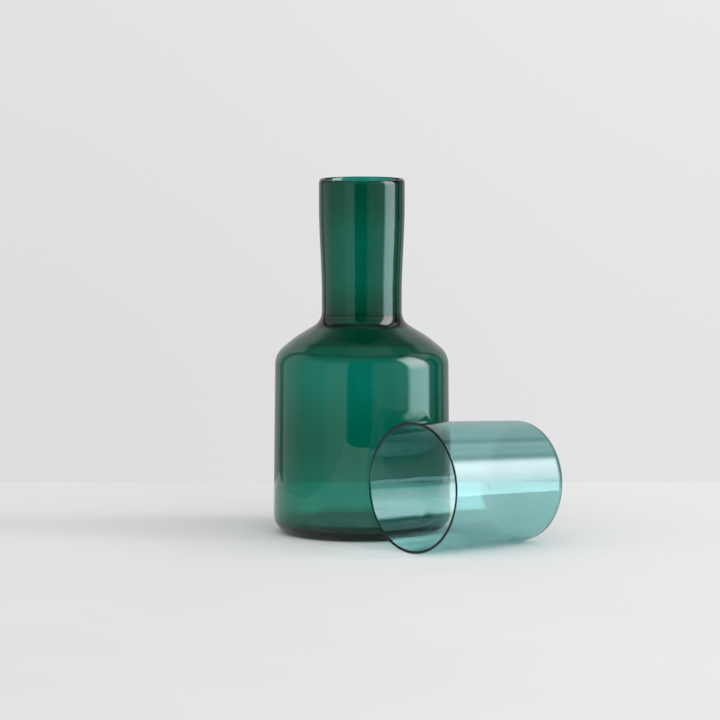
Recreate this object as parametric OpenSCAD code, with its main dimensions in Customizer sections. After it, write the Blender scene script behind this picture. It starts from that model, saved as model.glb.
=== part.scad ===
// A blown-glass carafe and the tumbler that caps it. The tumbler is taken off the neck
// and lies on its side in front of the carafe.
// The origin is the centre of the carafe's foot, on the surface that it stands on.
// +Z is up, and the tumbler lies along X with its mouth towards -X.

/* [Carafe outside] */
// Radius at the foot
foot_r = 55.1; // [50:0.1:60]
// Radius where the side meets the shoulder
shoulder_r = 53.8; // [49:0.1:58]
// Height at which the side meets the shoulder
body_h = 111.3; // [90:0.1:130]
// Rise of the shoulder from the side to the neck
shoulder_rise = 20.4; // [16:0.1:30]
// How far the shoulder bulges above a straight slope
shoulder_bulge = 1.2; // [0.5:0.1:3]
// Radius of the neck's waist
waist_r = 24.8; // [21:0.1:28]
// Height of the waist above the foot of the neck
waist_rise = 14.6; // [10:0.1:25]
// Radius of the rim
rim_r = 26.6; // [24:0.1:30]
// Length of the straight band under the rim
rim_band = 16; // [10:0.5:25]
// Height of the neck, from the shoulder to the top of the rim
neck_h = 88.3; // [70:0.1:110]
// Height of the rounding at the top of the rim
lip_h = 3.2; // [1:0.1:5]

/* [Carafe corners] */
// Rounding at the foot
foot_round = 11; // [6:0.5:13]
// Rounding between the side and the shoulder
shoulder_round = 14; // [7:0.5:16]
// Rounding across the shoulder's bulge
bulge_round = 50; // [20:1:60]
// Rounding between the shoulder and the neck
neck_round = 10.6; // [6:0.1:14]
// Rounding inside, between the shoulder and the neck
neck_bend_round = 2; // [1:0.5:14]
// Rounding inside, between the floor and the side
heel_round = 5.5; // [3:0.5:9]
// Rounding at the edge of the inside floor's flat middle
floor_round = 8; // [2:0.5:14]
// Rounding at the edge of the hollow under the base
punt_round = 4; // [1:0.5:8]

/* [Carafe glass] */
// Wall of the body
body_wall = 2.2; // [1.8:0.1:4]
// Wall of the shoulder
shoulder_wall = 2.3; // [1.8:0.1:4]
// Wall of the neck and rim
neck_wall = 2.5; // [1.8:0.1:3.5]
// Thickness of the base at the heel
base_t = 3.2; // [2.5:0.1:6]
// Rise of the inside floor from the heel to its flat middle
floor_rise = 4.5; // [1:0.1:6]
// Radius of the inside floor's flat middle
floor_r = 34.5; // [28:0.5:38]
// Height of the hollow under the base
punt_h = 3.2; // [1:0.1:4]
// Radius of the hollow's flat top
punt_r = 31; // [24:0.5:34]
// Width of the flat ring that the carafe stands on
foot_ring_w = 6; // [3:0.5:8]

/* [Tumbler] */
// Length from base to mouth
tumbler_h = 93; // [85:0.1:110]
// Taper of the side, in degrees from its axis
tumbler_taper = 1.91; // [0.5:0.01:4]
// Room between the carafe's rim and the inside of the tumbler's base when it caps the neck
cap_room = 8.4; // [3:0.1:14]
// Wall of the side and mouth
tumbler_wall = 1.7; // [1.2:0.1:2.5]
// Thickness of the base at the heel
tumbler_base_t = 2; // [1.5:0.1:5]
// Rounding outside, at the base
tumbler_round = 6; // [4:0.1:8]
// Rounding inside, between the floor and the side
tumbler_heel_round = 4.2; // [2:0.1:7]
// Rise of the inside floor at its centre
tumbler_floor_rise = 0.6; // [0.2:0.1:1.5]
// Hollow under the base at its centre
tumbler_punt_h = 0.9; // [0.3:0.1:1.5]
// Width of the flat ring that the tumbler stands on
tumbler_ring_w = 5; // [1.5:0.5:8]

/* [Where the tumbler lies] */
// How far its mouth lies past the carafe's axis
mouth_reach = 41.7; // [30:0.1:60]
// Gap between the tumbler's side and the carafe's side
side_gap = 0.4; // [0.4:0.1:20]

/* [Hidden] */
$fn = 144;
// Steps in each rounded corner and in each long curve
corner_steps = 10;
curve_steps = 16;
// Where the shoulder's bulge is highest, along the slope from the side to the neck
bulge_share = 0.46;
// Rounding at the inner edge of the ring that the carafe stands on
ring_round = 2;

neck_foot_h = body_h + shoulder_rise;
carafe_h = neck_foot_h + neck_h;
waist_h = neck_foot_h + waist_rise;
band_h = carafe_h - rim_band;
tumbler_base_r = rim_r + cap_room + tumbler_wall;
tumbler_mouth_r = tumbler_base_r + tumbler_h * tan(tumbler_taper);
tumbler_lip_r = tumbler_mouth_r - tumbler_wall / 2 * tan(tumbler_taper);

// The tumbler's lowest side line lies flat, so its axis climbs towards the mouth
tumbler_base_x = tumbler_h * cos(tumbler_taper) - mouth_reach;
tumbler_base_z = tumbler_base_r * cos(tumbler_taper);
tumbler_r_abreast = tumbler_base_r + tumbler_base_x * tan(tumbler_taper);
carafe_r_abreast = foot_r + (shoulder_r - foot_r) * tumbler_r_abreast / body_h;
tumbler_y = -(carafe_r_abreast + tumbler_r_abreast + side_gap);

function unit(v) = v / norm(v);
function cross2(a, b) = a.x * b.y - a.y * b.x;
function left_of(v) = [-v.y, v.x];
function towards(angle) = [cos(angle), sin(angle)];
function ease(t) = t * t * (3 - 2 * t);
function reversed(list) = [for (i = [len(list) - 1:-1:0]) list[i]];

// The corner p of an outline rounded to radius r, between its neighbours a and b
function rounded(a, p, b, r) =
    let (u = unit(a - p))
    let (w = unit(b - p))
    let (half = acos(u * w) / 2)
    let (centre = p + unit(u + w) * r / sin(half))
    let (first = p + u * r / tan(half) - centre)
    let (last = p + w * r / tan(half) - centre)
    let (from = atan2(first.y, first.x))
    let (turn = (atan2(last.y, last.x) - from + 540) % 360 - 180)
    [for (i = [0:corner_steps]) centre + r * towards(from + turn * i / corner_steps)];

// Every inner corner of an outline rounded, with one radius for each
function rounded_line(corners, radii) =
    [for (i = [1:len(corners) - 2]) each rounded(corners[i - 1], corners[i], corners[i + 1], radii[i - 1])];

// An outline moved inwards, to its left, each edge by its own wall
function inset(corners, walls) =
    let (dirs = [for (i = [0:len(walls) - 1]) unit(corners[i + 1] - corners[i])])
    let (starts = [for (i = [0:len(walls) - 1]) corners[i] + left_of(dirs[i]) * walls[i]])
    [
        starts[0],
        for (i = [1:len(walls) - 1])
            let (reach = cross2(starts[i] - starts[i - 1], dirs[i]) / cross2(dirs[i - 1], dirs[i]))
            starts[i - 1] + dirs[i - 1] * reach,
        starts[len(walls) - 1] + dirs[len(walls) - 1] * norm(corners[len(walls)] - corners[len(walls) - 1]),
    ];

// A line that a low dome joins to the axis, level at its centre and where it meets the line
function domed(rise, line) =
    let (edge = line[0])
    let (shares = [for (i = [0:curve_steps - 1]) i / curve_steps])
    concat([for (t = shares) [edge.x * t, edge.y + rise * (1 + cos(180 * t)) / 2]], line);

// The neck's side, from the waist to the band under the rim
function flare(low_r, high_r) =
    [for (i = [0:curve_steps]) [
        low_r + (high_r - low_r) * ease(i / curve_steps),
        waist_h + (band_h - waist_h) * i / curve_steps
    ]];

// A rim rounded over height h, on a wall whose outside ends at radius r and height top
function lip(r, wall, top, h) =
    let (ways = [for (i = [0:corner_steps]) towards(180 * i / corner_steps)])
    [for (way = ways) [r + wall / 2 * (way.x - 1), top + h * (way.y - 1)]];

// A vessel turned from its outside line, its rim and its inside line, both lines drawn upwards
module turned(outside, rim, inside) {
    rotate_extrude()
        polygon(concat(outside, rim, reversed(inside)));
}

module carafe() {
    shoulder = [shoulder_r, body_h];
    neck_foot = [waist_r, neck_foot_h];
    slope = neck_foot - shoulder;
    bulge = shoulder + slope * bulge_share - left_of(unit(slope)) * shoulder_bulge;
    outer = [[0, 0], [foot_r, 0], shoulder, bulge, neck_foot, [waist_r, waist_h]];
    walls = inset(outer, [base_t, body_wall, shoulder_wall, shoulder_wall, neck_wall]);
    floor_h = base_t + floor_rise;
    inner = concat([[0, floor_h], [floor_r, floor_h]], [for (i = [1:len(walls) - 1]) walls[i]]);
    inner_rounds = [
        floor_round,
        heel_round,
        shoulder_round - shoulder_wall,
        bulge_round - shoulder_wall,
        neck_bend_round
    ];
    ring_r = foot_r - foot_round;
    under = [[0, punt_h], [punt_r, punt_h], [ring_r - foot_ring_w, 0], [ring_r, 0]];
    color("#0d6650")
        turned(
            concat(
                [under[0]],
                rounded_line(under, [punt_round, ring_round]),
                rounded_line(outer, [foot_round, shoulder_round, bulge_round, neck_round]),
                flare(waist_r, rim_r)
            ),
            lip(rim_r, neck_wall, carafe_h, lip_h),
            concat(
                [inner[0]],
                rounded_line(inner, inner_rounds),
                flare(waist_r - neck_wall, rim_r - neck_wall)
            )
        );
}

module tumbler() {
    outer = [[0, 0], [tumbler_base_r, 0], [tumbler_mouth_r, tumbler_h]];
    inner = inset(outer, [tumbler_base_t, tumbler_wall]);
    punt_r = tumbler_base_r - tumbler_round - tumbler_ring_w;
    color("#5aa9a6")
        translate([tumbler_base_x, tumbler_y, tumbler_base_z])
            rotate([0, tumbler_taper - 90, 0])
                turned(
                    domed(tumbler_punt_h, concat([[punt_r, 0]], rounded_line(outer, [tumbler_round]))),
                    lip(tumbler_lip_r, tumbler_wall, tumbler_h, tumbler_wall / 2),
                    domed(tumbler_floor_rise, rounded_line(inner, [tumbler_heel_round]))
                );
}

carafe();
tumbler();
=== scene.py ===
"""A green glass carafe and the teal tumbler that caps it, on a pale table in a plain studio.

Lengths are in metres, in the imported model's own frame. Both glasses are turned from the same
outlines as the solids that they stand for, with more steps in each curve.
"""
import math

import bpy
from mathutils import Matrix, Vector

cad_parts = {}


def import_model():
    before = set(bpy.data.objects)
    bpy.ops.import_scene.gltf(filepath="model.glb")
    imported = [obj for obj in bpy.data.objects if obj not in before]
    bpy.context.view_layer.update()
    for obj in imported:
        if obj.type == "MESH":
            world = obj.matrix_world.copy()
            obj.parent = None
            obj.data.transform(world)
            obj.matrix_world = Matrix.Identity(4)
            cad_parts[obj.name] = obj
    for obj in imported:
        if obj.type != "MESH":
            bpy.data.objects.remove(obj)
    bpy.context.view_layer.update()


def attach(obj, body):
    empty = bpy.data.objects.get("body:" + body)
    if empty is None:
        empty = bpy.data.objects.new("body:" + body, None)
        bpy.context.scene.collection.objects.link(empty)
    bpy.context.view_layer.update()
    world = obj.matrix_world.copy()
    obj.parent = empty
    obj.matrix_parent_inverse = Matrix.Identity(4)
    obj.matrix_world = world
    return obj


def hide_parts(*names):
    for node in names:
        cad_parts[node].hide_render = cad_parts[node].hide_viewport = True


MM = 0.001

# Carafe, outside
FOOT_R = 55.1 * MM
SHOULDER_R = 53.8 * MM
BODY_H = 111.3 * MM
SHOULDER_RISE = 20.4 * MM
SHOULDER_BULGE = 1.2 * MM
BULGE_SHARE = 0.46
WAIST_R = 24.8 * MM
WAIST_RISE = 14.6 * MM
RIM_R = 26.6 * MM
RIM_BAND = 16 * MM
NECK_H = 88.3 * MM
LIP_H = 3.2 * MM

# Carafe, corners and glass
FOOT_ROUND = 11 * MM
SHOULDER_ROUND = 14 * MM
BULGE_ROUND = 50 * MM
NECK_ROUND = 10.6 * MM
NECK_BEND_ROUND = 2 * MM
HEEL_ROUND = 5.5 * MM
FLOOR_ROUND = 8 * MM
PUNT_ROUND = 4 * MM
RING_ROUND = 2 * MM
BODY_WALL = 2.2 * MM
SHOULDER_WALL = 2.3 * MM
NECK_WALL = 2.5 * MM
BASE_T = 3.2 * MM
FLOOR_RISE = 4.5 * MM
FLOOR_R = 34.5 * MM
PUNT_H = 3.2 * MM
PUNT_R = 31 * MM
FOOT_RING_W = 6 * MM

# Tumbler
TUMBLER_H = 93 * MM
TUMBLER_TAPER = math.radians(1.91)
CAP_ROOM = 8.4 * MM
TUMBLER_WALL = 1.7 * MM
TUMBLER_BASE_T = 2 * MM
TUMBLER_ROUND = 6 * MM
TUMBLER_HEEL_ROUND = 4.2 * MM
TUMBLER_FLOOR_RISE = 0.6 * MM
TUMBLER_PUNT_H = 0.9 * MM
TUMBLER_RING_W = 5 * MM
MOUTH_REACH = 41.7 * MM
SIDE_GAP = 0.4 * MM

NECK_FOOT_H = BODY_H + SHOULDER_RISE
CARAFE_H = NECK_FOOT_H + NECK_H
WAIST_H = NECK_FOOT_H + WAIST_RISE
BAND_H = CARAFE_H - RIM_BAND
TUMBLER_BASE_R = RIM_R + CAP_ROOM + TUMBLER_WALL
TUMBLER_MOUTH_R = TUMBLER_BASE_R + TUMBLER_H * math.tan(TUMBLER_TAPER)
TUMBLER_LIP_R = TUMBLER_MOUTH_R - TUMBLER_WALL / 2 * math.tan(TUMBLER_TAPER)

# Steps in each rounded corner, in each long curve and round the axis
CORNER_STEPS = 20
CURVE_STEPS = 32
TURN_STEPS = 224
# Points of an outline that are nearer to each other than this are one point
SAME_POINT = 1e-7

# Glass: the share of red, green and blue that is left after 1 mm of it
GREEN_KEPT = (0.27, 0.761, 0.705)
TEAL_KEPT = (0.75, 0.908, 0.903)
GLASS_IOR = 1.5
# Depth of the slight waves in the carafe's and the tumbler's surface
CARAFE_WAVE = 0.04 * MM
TUMBLER_WAVE = 0.03 * MM
# How far the density of the glass stands above what its strongest absorption needs
DENSITY_MARGIN = 1.02
# Where the carafe's colour deepens or pales on the way up: the heights in mm between which it
# changes, and the mm of glass that would change it as much
DEEPER = [
    (0, 1, 0.7),
    (4, 12, -0.5),
    (20, 45, 0.67),
    (55, 100, -0.87),
    (109, 116, 1.9),
    (130, 160, -1.4),
    (180, 212, 0.8),
]

# Camera: its heading is the direction of view, turned from +Y about +Z
HEADING = math.radians(-41.2)
CAMERA_BACK = 2.647
CAMERA_H = 0.371
CAMERA_PITCH = 0.0993
FOCAL_PX = 4280
FRAME_PX = 720
AXIS_SHIFT_PX = 1.81
SENSOR_MM = 36
VIEW_RIGHT = Vector((math.cos(HEADING), math.sin(HEADING), 0))
VIEW_AHEAD = Vector((-math.sin(HEADING), math.cos(HEADING), 0))

# Table: how far its top reaches behind, before and beside the carafe's axis
TABLE_BEHIND = 0.242
TABLE_BEFORE = 0.66
TABLE_BESIDE = 0.27
TABLE_T = 0.03
TABLE_EDGE_ROUND = 0.003
# The table's tone as a step over its mottle, and painted light as a step lighter from left to right
TABLE_MOTTLE = (0.3, 0.7, 0.83, 0.85)
TABLE_PAINTED_LIGHT = (-0.15, 0.2, 0, 0.07)

# The studio, in degrees round from the camera's side towards the right and in degrees above level.
# A band has its start and end, the width of both soft edges, and its level, which is 1 if it isn't
# given. A step has its start and end, and the values at both, which are 0 and 1 if they aren't given.

# The large light: its sides, its ends, its level on the way up, and its colour low down and high up
KEY_SIDES = (66, 100, 9, 8)
KEY_ENDS = (-15, 50.5, 6, 13)
KEY_RISE = (-8, 26, 4.4, 7.1)
KEY_LOW = (0.84, 1.02, 1.1, 1)
KEY_HIGH = (1.1, 0.94, 1.0, 1)
KEY_COLOUR_RISE = (-4, 18)
# The share of it that is hidden where glass mirrors it behind its first surface, and in far walls
KEY_HIDDEN = (-4.6, 4, 0.4, 4, 0.45)
KEY_HIDDEN_FAR = (-4.8, -4.4, 1, 0.5)
KEY_HIDDEN_FAR_END = (17, 23, 1, 0)
# Screens round the sides, one more on both sides alike, and a high one
SCREENS = [
    (-127, -19.5, 4, 3, 0.38),
    (-47, -19.5, 18, 3, 0.22),
    (-125, -97, 4, 18, 0.16),
    (13.5, 113, 3, 8, 0.22),
    (20, 66, 8, 8, 0.12),
    (46, 66, 14, 8, 0.16),
    (123.5, 131, 4, 6, 0.2),
]
SCREEN_BOTH_SIDES = (120, 142, 6, 6, 0.18)
SCREEN_ENDS = (-35, 45, 10, 16)
HIGH_SCREEN_SIDES = (108, 128, 8, 8)
HIGH_SCREEN_ENDS = (30, 54, 8, 8, 0.8)
# How much of the screens far walls mirror
SCREENS_FAR = 0.3
# The backdrop as glass mirrors it: where it starts on both sides, its ends, and its level
BACKDROP_SIDES = (137, 143)
BACKDROP_ENDS = (-35, 46, 10, 14)
BACKDROP_RISE = (-8, 14, 0.44, 0.62)
# The ceiling: its level on the way up, a lighter part on the right, and a dark part at the back
CEILING_RISE = (40, 56, 0, 0.15)
CEILING_TOP = (76, 84, 0, 0.13)
CEILING_RIGHT_SIDES = (90, 130, 14, 14)
CEILING_RIGHT_ENDS = (66, 84, 6, 8, 0.2)
CEILING_DARK_SIDES = (145, 158)
CEILING_DARK_ENDS = (58, 76, 6, 5)

# Light on surfaces: which part of the large light reaches them and how much of it, the level from
# the far side to the camera's side, as a step over the part of the direction that points to the
# camera, and how much brighter the light is that glass has gathered
KEY_ON_SURFACES = (74, 90, 12, 12, 0.6)
FILL = (-0.35, 0.65, 0.56, 1.2)
GATHERED = 2.4

# The backdrop as the camera sees it, as steps over the parts of the direction that point right and
# up, and its colour
BACKDROP_ACROSS = (-0.1, 0.1, 0.76, 0.82)
BACKDROP_UP = (-0.12, 0.02, -0.03, 0.02)
BACKDROP_COLOUR = (0.985, 0.985, 1, 1)
# The backdrop as it shows through glass, as a step over the part of the direction that points
# right, and how much of it is left behind more surfaces of glass than two walls have
THROUGH_ACROSS = (-0.03, 0.0, 0.6, 0.54)
SURFACES_OF_TWO_WALLS = 4
THROUGH_MORE = 0.68

WHITE = (1, 1, 1, 1)


def unit(v):
    return v.normalized()


def left_of(v):
    return Vector((-v.y, v.x))


def towards(angle):
    return Vector((math.cos(angle), math.sin(angle)))


def ease(t):
    return t * t * (3 - 2 * t)


def shares(steps):
    return [i / steps for i in range(steps + 1)]


def rounded(a, p, b, r):
    """The corner p of an outline rounded to radius r, between its neighbours a and b."""
    u = unit(a - p)
    w = unit(b - p)
    half = math.acos(u.dot(w)) / 2
    centre = p + unit(u + w) * r / math.sin(half)
    first = p + u * r / math.tan(half) - centre
    last = p + w * r / math.tan(half) - centre
    start = math.atan2(first.y, first.x)
    turn = (math.atan2(last.y, last.x) - start + 3 * math.pi) % (2 * math.pi) - math.pi
    return [centre + r * towards(start + turn * t) for t in shares(CORNER_STEPS)]


def rounded_line(corners, radii):
    """Every inner corner of an outline rounded, with one radius for each."""
    line = []
    for a, p, b, r in zip(corners, corners[1:], corners[2:], radii):
        line += rounded(a, p, b, r)
    return line


def inset(corners, walls):
    """An outline moved inwards, to its left, each edge by its own wall."""
    dirs = [unit(b - a) for a, b in zip(corners, corners[1:])]
    starts = [p + left_of(d) * w for p, d, w in zip(corners, dirs, walls)]
    moved = [starts[0]]
    for i in range(1, len(walls)):
        reach = (starts[i] - starts[i - 1]).cross(dirs[i]) / dirs[i - 1].cross(dirs[i])
        moved.append(starts[i - 1] + dirs[i - 1] * reach)
    moved.append(starts[-1] + dirs[-1] * (corners[-1] - corners[-2]).length)
    return moved


def domed(rise, line):
    """A line that a low dome joins to the axis."""
    edge = line[0]
    dome = [
        Vector((edge.x * t, edge.y + rise * (1 + math.cos(math.pi * t)) / 2))
        for t in shares(CURVE_STEPS)[:-1]
    ]
    return dome + line


def flare(low_r, high_r):
    """The neck's side, from the waist to the band under the rim."""
    return [
        Vector((low_r + (high_r - low_r) * ease(t), WAIST_H + (BAND_H - WAIST_H) * t))
        for t in shares(CURVE_STEPS)
    ]


def lip(r, wall, top, h):
    """A rim rounded over height h, on a wall whose outside ends at radius r and height top."""
    ways = [towards(math.pi * t) for t in shares(CORNER_STEPS)]
    return [Vector((r + wall / 2 * (way.x - 1), top + h * (way.y - 1))) for way in ways]


def without_repeats(line):
    kept = [line[0]]
    for p in line[1:]:
        if (p - kept[-1]).length > SAME_POINT:
            kept.append(p)
    return kept


def line_normals(line):
    """The outward normal at each inner point of a line, where the longer edge counts for more."""
    across = [Vector((b.y - a.y, a.x - b.x)) for a, b in zip(line, line[1:])]
    return [unit(before + after) for before, after in zip(across, across[1:])]


def round_axis(p):
    """A point or direction in an outline, turned to every step round the axis."""
    angles = [2 * math.pi * k / TURN_STEPS for k in range(TURN_STEPS)]
    return [Vector((p.x * math.cos(a), p.x * math.sin(a), p.y)) for a in angles]


def new_object(name, data):
    made = bpy.data.objects.new(name, data)
    bpy.context.scene.collection.objects.link(made)
    return made


def turned(name, outside, rim, inside, place):
    """A glass vessel turned about its axis from its outside line, its rim and its inside line."""
    line = without_repeats(outside + rim + inside[::-1])
    middle = line[1:-1]
    points = [Vector((0, 0, line[0].y)), Vector((0, 0, line[-1].y))]
    normals = [Vector((0, 0, -1)), Vector((0, 0, 1))]
    for p, normal in zip(middle, line_normals(line)):
        points += round_axis(p)
        normals += round_axis(normal)
    faces = []
    last = 2 + (len(middle) - 1) * TURN_STEPS
    for k in range(TURN_STEPS):
        n = (k + 1) % TURN_STEPS
        faces.append((0, 2 + n, 2 + k))
        faces.append((1, last + k, last + n))
        for j in range(len(middle) - 1):
            low = 2 + j * TURN_STEPS
            high = low + TURN_STEPS
            faces.append((low + k, low + n, high + n, high + k))
    mesh = bpy.data.meshes.new(name)
    mesh.from_pydata([place @ p for p in points], [], faces)
    mesh.shade_smooth()
    mesh.validate()
    mesh.normals_split_custom_set_from_vertices([place.to_3x3() @ n for n in normals])
    return new_object(name, mesh)


def carafe_mesh():
    shoulder = Vector((SHOULDER_R, BODY_H))
    neck_foot = Vector((WAIST_R, NECK_FOOT_H))
    slope = neck_foot - shoulder
    bulge = shoulder + slope * BULGE_SHARE - left_of(unit(slope)) * SHOULDER_BULGE
    outer = [
        Vector((0, 0)),
        Vector((FOOT_R, 0)),
        shoulder,
        bulge,
        neck_foot,
        Vector((WAIST_R, WAIST_H)),
    ]
    walls = inset(outer, [BASE_T, BODY_WALL, SHOULDER_WALL, SHOULDER_WALL, NECK_WALL])
    floor_h = BASE_T + FLOOR_RISE
    inner = [Vector((0, floor_h)), Vector((FLOOR_R, floor_h))] + walls[1:]
    inner_rounds = [
        FLOOR_ROUND,
        HEEL_ROUND,
        SHOULDER_ROUND - SHOULDER_WALL,
        BULGE_ROUND - SHOULDER_WALL,
        NECK_BEND_ROUND,
    ]
    ring_r = FOOT_R - FOOT_ROUND
    under = [
        Vector((0, PUNT_H)),
        Vector((PUNT_R, PUNT_H)),
        Vector((ring_r - FOOT_RING_W, 0)),
        Vector((ring_r, 0)),
    ]
    outside = [under[0]] + rounded_line(under, [PUNT_ROUND, RING_ROUND])
    outside += rounded_line(outer, [FOOT_ROUND, SHOULDER_ROUND, BULGE_ROUND, NECK_ROUND])
    outside += flare(WAIST_R, RIM_R)
    inside = [inner[0]] + rounded_line(inner, inner_rounds)
    inside += flare(WAIST_R - NECK_WALL, RIM_R - NECK_WALL)
    rim = lip(RIM_R, NECK_WALL, CARAFE_H, LIP_H)
    return turned("carafe_glass", outside, rim, inside, Matrix())


def tumbler_place():
    """Where the tumbler lies: its lowest side line is flat, so its axis climbs to the mouth."""
    base_x = TUMBLER_H * math.cos(TUMBLER_TAPER) - MOUTH_REACH
    base_z = TUMBLER_BASE_R * math.cos(TUMBLER_TAPER)
    r_abreast = TUMBLER_BASE_R + base_x * math.tan(TUMBLER_TAPER)
    carafe_r = FOOT_R + (SHOULDER_R - FOOT_R) * r_abreast / BODY_H
    base_y = -(carafe_r + r_abreast + SIDE_GAP)
    turn = Matrix.Rotation(TUMBLER_TAPER - math.pi / 2, 4, "Y")
    return Matrix.Translation((base_x, base_y, base_z)) @ turn


def tumbler_mesh():
    outer = [Vector((0, 0)), Vector((TUMBLER_BASE_R, 0)), Vector((TUMBLER_MOUTH_R, TUMBLER_H))]
    inner = inset(outer, [TUMBLER_BASE_T, TUMBLER_WALL])
    ring = [Vector((TUMBLER_BASE_R - TUMBLER_ROUND - TUMBLER_RING_W, 0))]
    outside = domed(TUMBLER_PUNT_H, ring + rounded_line(outer, [TUMBLER_ROUND]))
    inside = domed(TUMBLER_FLOOR_RISE, rounded_line(inner, [TUMBLER_HEEL_ROUND]))
    rim = lip(TUMBLER_LIP_R, TUMBLER_WALL, TUMBLER_H, TUMBLER_WALL / 2)
    return turned("tumbler_glass", outside, rim, inside, tumbler_place())


class Nodes:
    """Adds nodes to one node tree. A socket input takes a number, a tuple or another node's output."""

    def __init__(self, tree):
        self.tree = tree
        self.tree.nodes.clear()

    def add(self, kind, inputs=(), output=0, **settings):
        node = self.tree.nodes.new(kind)
        for key, value in settings.items():
            setattr(node, key, value)
        for key, value in dict(inputs).items():
            if isinstance(value, bpy.types.NodeSocket):
                self.tree.links.new(value, node.inputs[key])
            else:
                node.inputs[key].default_value = value
        return node.outputs[output] if node.outputs else None

    def math(self, operation, a, b=0.0):
        return self.add("ShaderNodeMath", {0: a, 1: b}, operation=operation)

    def dot(self, vector, direction):
        inputs = {0: vector, 1: tuple(direction)}
        return self.add("ShaderNodeVectorMath", inputs, "Value", operation="DOT_PRODUCT")

    def step(self, value, low, high, to_low=0.0, to_high=1.0):
        """A smooth step from to_low at low to to_high at high."""
        inputs = {"Value": value, 1: low, 2: high, 3: to_low, 4: to_high}
        return self.add("ShaderNodeMapRange", inputs, interpolation_type="SMOOTHSTEP")

    def band(self, value, low, high, soft_low, soft_high, level=1.0):
        """level between low and high, and 0 outside, with soft edges."""
        rise = self.step(value, low - soft_low / 2, low + soft_low / 2, 0, level)
        fall = self.step(value, high - soft_high / 2, high + soft_high / 2, 1, 0)
        return self.math("MULTIPLY", rise, fall)

    def total(self, values):
        result = values[0]
        for value in values[1:]:
            result = self.math("ADD", result, value)
        return result

    def product(self, values):
        result = values[0]
        for value in values[1:]:
            result = self.math("MULTIPLY", result, value)
        return result

    def mixed(self, share, a, b):
        return self.add("ShaderNodeMix", {0: share, 2: a, 3: b})

    def mixed_colour(self, share, a, b):
        return self.add("ShaderNodeMix", {0: share, 6: a, 7: b}, 2, data_type="RGBA")


def new_material(name):
    material = bpy.data.materials.new(name)
    material.use_nodes = True
    return material, Nodes(material.node_tree)


def glass(name, kept_per_mm, wave_depth, deeper=()):
    """Clear coloured glass. kept_per_mm is the share of red, green and blue left after 1 mm of it.

    deeper has the steps by which its colour changes on the way up, as in DEEPER.
    """
    material, nodes = new_material(name)
    # Volume Absorption takes off density * (1 - colour) per metre
    absorbed = [-math.log(k) / MM for k in kept_per_mm]
    density = max(absorbed) * DENSITY_MARGIN
    colour = tuple(1 - a / density for a in absorbed) + (1,)
    inside = nodes.add("ShaderNodeVolumeAbsorption", {"Color": colour, "Density": density})
    at = nodes.add("ShaderNodeTexCoord", output="Object")
    drawn = nodes.add("ShaderNodeMapping", {"Vector": at, "Scale": (1, 1, 0.35)})
    wave = nodes.add(
        "ShaderNodeTexNoise",
        {"Vector": drawn, "Scale": 28, "Detail": 1.5, "Roughness": 0.4},
    )
    bump = nodes.add("ShaderNodeBump", {"Height": wave, "Strength": 1.0, "Distance": wave_depth})
    tint = WHITE
    if deeper:
        height = nodes.dot(at, (0, 0, 1))
        more = nodes.total([nodes.step(height, low * MM, high * MM, 0, mm) for low, high, mm in deeper])
        kept = [nodes.math("POWER", k, more) for k in kept_per_mm]
        tint = nodes.add("ShaderNodeCombineColor", dict(enumerate(kept)))
    surface = nodes.add(
        "ShaderNodeBsdfPrincipled",
        {
            "Base Color": tint,
            "Roughness": 0.0,
            "IOR": GLASS_IOR,
            "Transmission Weight": 1.0,
            "Normal": bump,
        },
    )
    nodes.add("ShaderNodeOutputMaterial", {"Surface": surface, "Volume": inside})
    return material


def table_material():
    material, nodes = new_material("pale_table")
    at = nodes.add("ShaderNodeTexCoord", output="Object")
    mottle = nodes.add("ShaderNodeTexNoise", {"Vector": at, "Scale": 6, "Detail": 4})
    grain = nodes.add("ShaderNodeTexNoise", {"Vector": at, "Scale": 900, "Detail": 2})
    side = nodes.dot(at, VIEW_RIGHT)
    # Painted light: the table's colour grows lighter towards the right, where the large light stands
    mottle_and_painted_light = nodes.total([
        nodes.step(mottle, *TABLE_MOTTLE),
        nodes.step(side, *TABLE_PAINTED_LIGHT),
    ])
    colour = nodes.add("ShaderNodeCombineColor", {"Red": mottle_and_painted_light, "Green": mottle_and_painted_light, "Blue": mottle_and_painted_light})
    bump = nodes.add("ShaderNodeBump", {"Height": grain, "Strength": 0.1, "Distance": 0.02 * MM})
    surface = nodes.add(
        "ShaderNodeBsdfPrincipled",
        {"Base Color": colour, "Roughness": 0.85, "Specular IOR Level": 0.1, "Normal": bump},
    )
    nodes.add("ShaderNodeOutputMaterial", {"Surface": surface})
    return material


def table():
    """The table's top, square to the view, with a softly rounded edge."""
    lift = Vector((0, 0, -TABLE_T))
    corners = [
        VIEW_RIGHT * side + VIEW_AHEAD * ahead
        for side, ahead in (
            (-TABLE_BESIDE, -TABLE_BEFORE),
            (TABLE_BESIDE, -TABLE_BEFORE),
            (TABLE_BESIDE, TABLE_BEHIND),
            (-TABLE_BESIDE, TABLE_BEHIND),
        )
    ]
    mesh = bpy.data.meshes.new("table")
    points = corners + [c + lift for c in corners]
    sides = [(i, i + 4, (i + 1) % 4 + 4, (i + 1) % 4) for i in range(4)]
    mesh.from_pydata(points, [], [(0, 1, 2, 3), (7, 6, 5, 4)] + sides)
    mesh.materials.append(table_material())
    top = new_object("table", mesh)
    edge = top.modifiers.new("edge", "BEVEL")
    edge.width = TABLE_EDGE_ROUND
    edge.segments = 4


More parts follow.
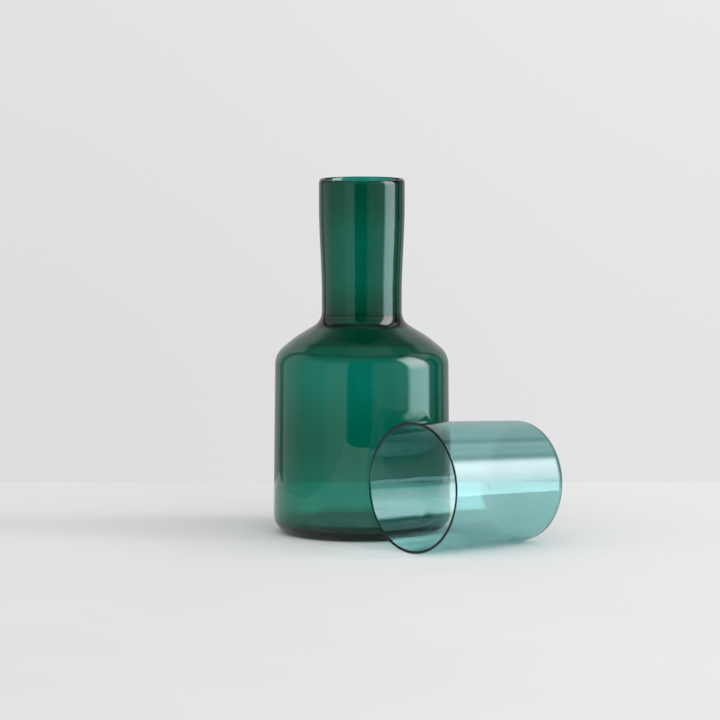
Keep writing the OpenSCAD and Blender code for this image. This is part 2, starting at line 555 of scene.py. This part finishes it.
def world():
    """A pale backdrop, and round it the studio that the glass mirrors."""
    sky = bpy.data.worlds.new("studio")
    bpy.context.scene.world = sky
    sky.use_nodes = True
    nodes = Nodes(sky.node_tree)
    way = nodes.add("ShaderNodeTexCoord", output="Generated")
    right = nodes.dot(way, VIEW_RIGHT)
    ahead = nodes.dot(way, VIEW_AHEAD)
    up = nodes.dot(way, (0, 0, 1))
    back = nodes.math("MULTIPLY", ahead, -1)
    around = nodes.math("DEGREES", nodes.math("ARCTAN2", right, back))
    apart = nodes.math("ABSOLUTE", around)
    above = nodes.math("DEGREES", nodes.math("ARCSINE", up))

    # How light has come here: the surfaces of glass it has crossed, and whether it was mirrored,
    # scattered by a surface, or only passed on by glass. The counts are whole, so a half lies
    # between two of them
    path = nodes.add("ShaderNodeLightPath").node
    crossed = path.outputs["Transmission Depth"]
    behind_first = nodes.math("GREATER_THAN", crossed, 1.5)
    far_wall = nodes.math("GREATER_THAN", crossed, 2.5)
    has_mirrored = nodes.math("GREATER_THAN", path.outputs["Glossy Depth"], 0.5)
    unscattered = nodes.math("LESS_THAN", path.outputs["Diffuse Depth"], 0.5)
    through_glass = path.outputs["Is Transmission Ray"]
    turned_aside = nodes.math("MAXIMUM", through_glass, path.outputs["Is Reflection Ray"])

    # The large light stands on the right, and is brighter high up. Its lower part is mirrored more
    # weakly behind the first surface of the glass, and hardly at all in far walls
    key_sides = nodes.band(around, *KEY_SIDES)
    key = nodes.product([key_sides, nodes.band(above, *KEY_ENDS), nodes.step(above, *KEY_RISE)])
    hidden = nodes.total([
        nodes.product([behind_first, nodes.band(above, *KEY_HIDDEN)]),
        nodes.product([
            far_wall,
            nodes.step(above, *KEY_HIDDEN_FAR_END),
            nodes.step(above, *KEY_HIDDEN_FAR),
        ]),
    ])
    key_mirrored = nodes.product([key, nodes.math("SUBTRACT", 1, hidden)])

    # Screens round the sides, with dark gaps between them
    screens = nodes.total(
        [nodes.band(around, *screen) for screen in SCREENS]
        + [nodes.band(apart, *SCREEN_BOTH_SIDES)]
    )
    screens_mirrored = nodes.product([
        screens,
        nodes.band(above, *SCREEN_ENDS),
        nodes.step(far_wall, 0, 1, 1, SCREENS_FAR),
    ])
    high_screen = nodes.product([
        nodes.band(around, *HIGH_SCREEN_SIDES),
        nodes.band(above, *HIGH_SCREEN_ENDS),
    ])
    backdrop_mirrored = nodes.product([
        nodes.step(apart, *BACKDROP_SIDES),
        nodes.band(above, *BACKDROP_ENDS),
        nodes.step(above, *BACKDROP_RISE),
    ])

    # The ceiling is dark, and darkest at the back
    ceiling_right = nodes.product([
        nodes.band(around, *CEILING_RIGHT_SIDES),
        nodes.band(above, *CEILING_RIGHT_ENDS),
    ])
    ceiling_level = nodes.total([
        nodes.step(above, *CEILING_RISE),
        nodes.step(above, *CEILING_TOP),
        ceiling_right,
    ])
    dark_back = nodes.product([
        nodes.step(apart, *CEILING_DARK_SIDES),
        nodes.band(above, *CEILING_DARK_ENDS),
    ])
    ceiling = nodes.product([ceiling_level, nodes.math("SUBTRACT", 1, dark_back)])
    mirrored = nodes.total([
        screens_mirrored,
        backdrop_mirrored,
        ceiling,
        high_screen,
        key_mirrored,
    ])

    # What glass shows behind it, and the light on surfaces
    through = nodes.product([
        nodes.step(right, *THROUGH_ACROSS),
        nodes.step(crossed, SURFACES_OF_TWO_WALLS, SURFACES_OF_TWO_WALLS + 1, 1, THROUGH_MORE),
    ])
    light = nodes.total([
        nodes.product([key, nodes.band(around, *KEY_ON_SURFACES)]),
        nodes.step(back, *FILL),
    ])
    gathered = nodes.math("ADD", nodes.math("MULTIPLY", through_glass, GATHERED - 1), 1)
    in_glass = nodes.mixed(has_mirrored, through, mirrored)
    seen_in_glass = nodes.product([unscattered, turned_aside])
    level = nodes.mixed(seen_in_glass, nodes.product([light, gathered]), in_glass)

    key_tint = nodes.mixed_colour(nodes.step(above, *KEY_COLOUR_RISE), KEY_LOW, KEY_HIGH)
    colour = nodes.mixed_colour(nodes.product([has_mirrored, key_sides]), WHITE, key_tint)
    studio = nodes.add("ShaderNodeBackground", {"Color": colour, "Strength": level})

    # The camera itself sees the plain backdrop
    backdrop = nodes.total([nodes.step(right, *BACKDROP_ACROSS), nodes.step(up, *BACKDROP_UP)])
    behind = nodes.add("ShaderNodeBackground", {"Color": BACKDROP_COLOUR, "Strength": backdrop})
    shown = nodes.add(
        "ShaderNodeMixShader",
        {0: path.outputs["Is Camera Ray"], 1: studio, 2: behind},
    )
    nodes.add("ShaderNodeOutputWorld", {"Surface": shown})


def camera():
    data = bpy.data.cameras.new("camera")
    data.sensor_width = SENSOR_MM
    data.lens = FOCAL_PX * SENSOR_MM / FRAME_PX
    data.shift_x = -AXIS_SHIFT_PX / FRAME_PX
    data.clip_end = 20
    eye = new_object("camera", data)
    eye.location = -VIEW_AHEAD * CAMERA_BACK + Vector((0, 0, CAMERA_H))
    eye.rotation_euler = (math.pi / 2 - CAMERA_PITCH, 0, HEADING)
    bpy.context.scene.camera = eye


def dress(vessel, node, material):
    vessel.data.materials.append(material)
    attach(vessel, node)
    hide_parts(node)


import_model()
bpy.context.scene.view_settings.view_transform = "Standard"
camera()
world()
table()
green = glass("green_glass", GREEN_KEPT, CARAFE_WAVE, DEEPER)
teal = glass("teal_glass", TEAL_KEPT, TUMBLER_WAVE)
dress(carafe_mesh(), "carafe", green)
dress(tumbler_mesh(), "tumbler", teal)
